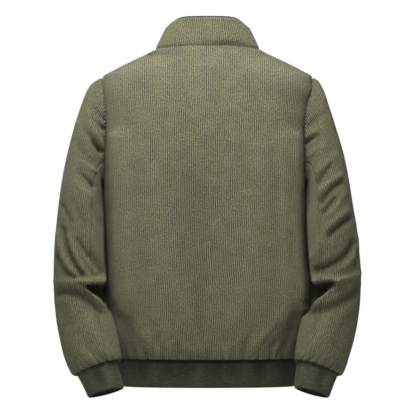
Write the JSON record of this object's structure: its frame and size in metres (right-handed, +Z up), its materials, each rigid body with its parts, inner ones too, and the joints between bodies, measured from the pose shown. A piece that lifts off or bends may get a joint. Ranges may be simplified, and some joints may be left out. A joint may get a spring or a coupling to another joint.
{
  "type": "corduroy jacket",
  "caption": "Olive corduroy jacket with a stand collar, front zip, bloused body and full set-in sleeves gathered into dark rib-knit cuffs and hem band, filled out as worn.",
  "frame": {"origin": "middle of the neck at the height of the neck points, where the wearer's shoulders carry the jacket", "axes": "+Z up, the front faces -Y, the wearer's left is +X"},
  "size_m": [0.6153, 0.2687, 0.7626],
  "materials": {
    "olive_corduroy": "corduroy with soft upright ribs of pile",
    "rib_knit": "dark rib knit",
    "collar_inner_cloth": "plain matt cloth",
    "zip_tape": "woven tape",
    "zip_metal": "aged satin metal"
  },
  "bodies": {
    "jacket": {"back": "olive_corduroy", "front_left": "olive_corduroy", "front_right": "olive_corduroy", "sleeve_top_left": "olive_corduroy", "sleeve_under_left": "olive_corduroy", "sleeve_top_right": "olive_corduroy", "sleeve_under_right": "olive_corduroy", "cuff_left": "rib_knit", "cuff_right": "rib_knit", "hem_band": "rib_knit", "collar": "olive_corduroy", "collar_inner": "collar_inner_cloth", "zip_tape_left": "zip_tape", "zip_tape_right": "zip_tape", "zip_teeth": "zip_metal", "zip_slider": "zip_metal"},
    "pull_tab": {"zip_pull": "zip_metal"}
  },
  "joints": [
    {"name": "pull_tab_hinge", "type": "hinge", "parent": "jacket", "child": "pull_tab", "pos_m": [0, -0.0768, -0.0308], "axis": [-1, 0, 0], "range_deg": [0, 150]}
  ]
}
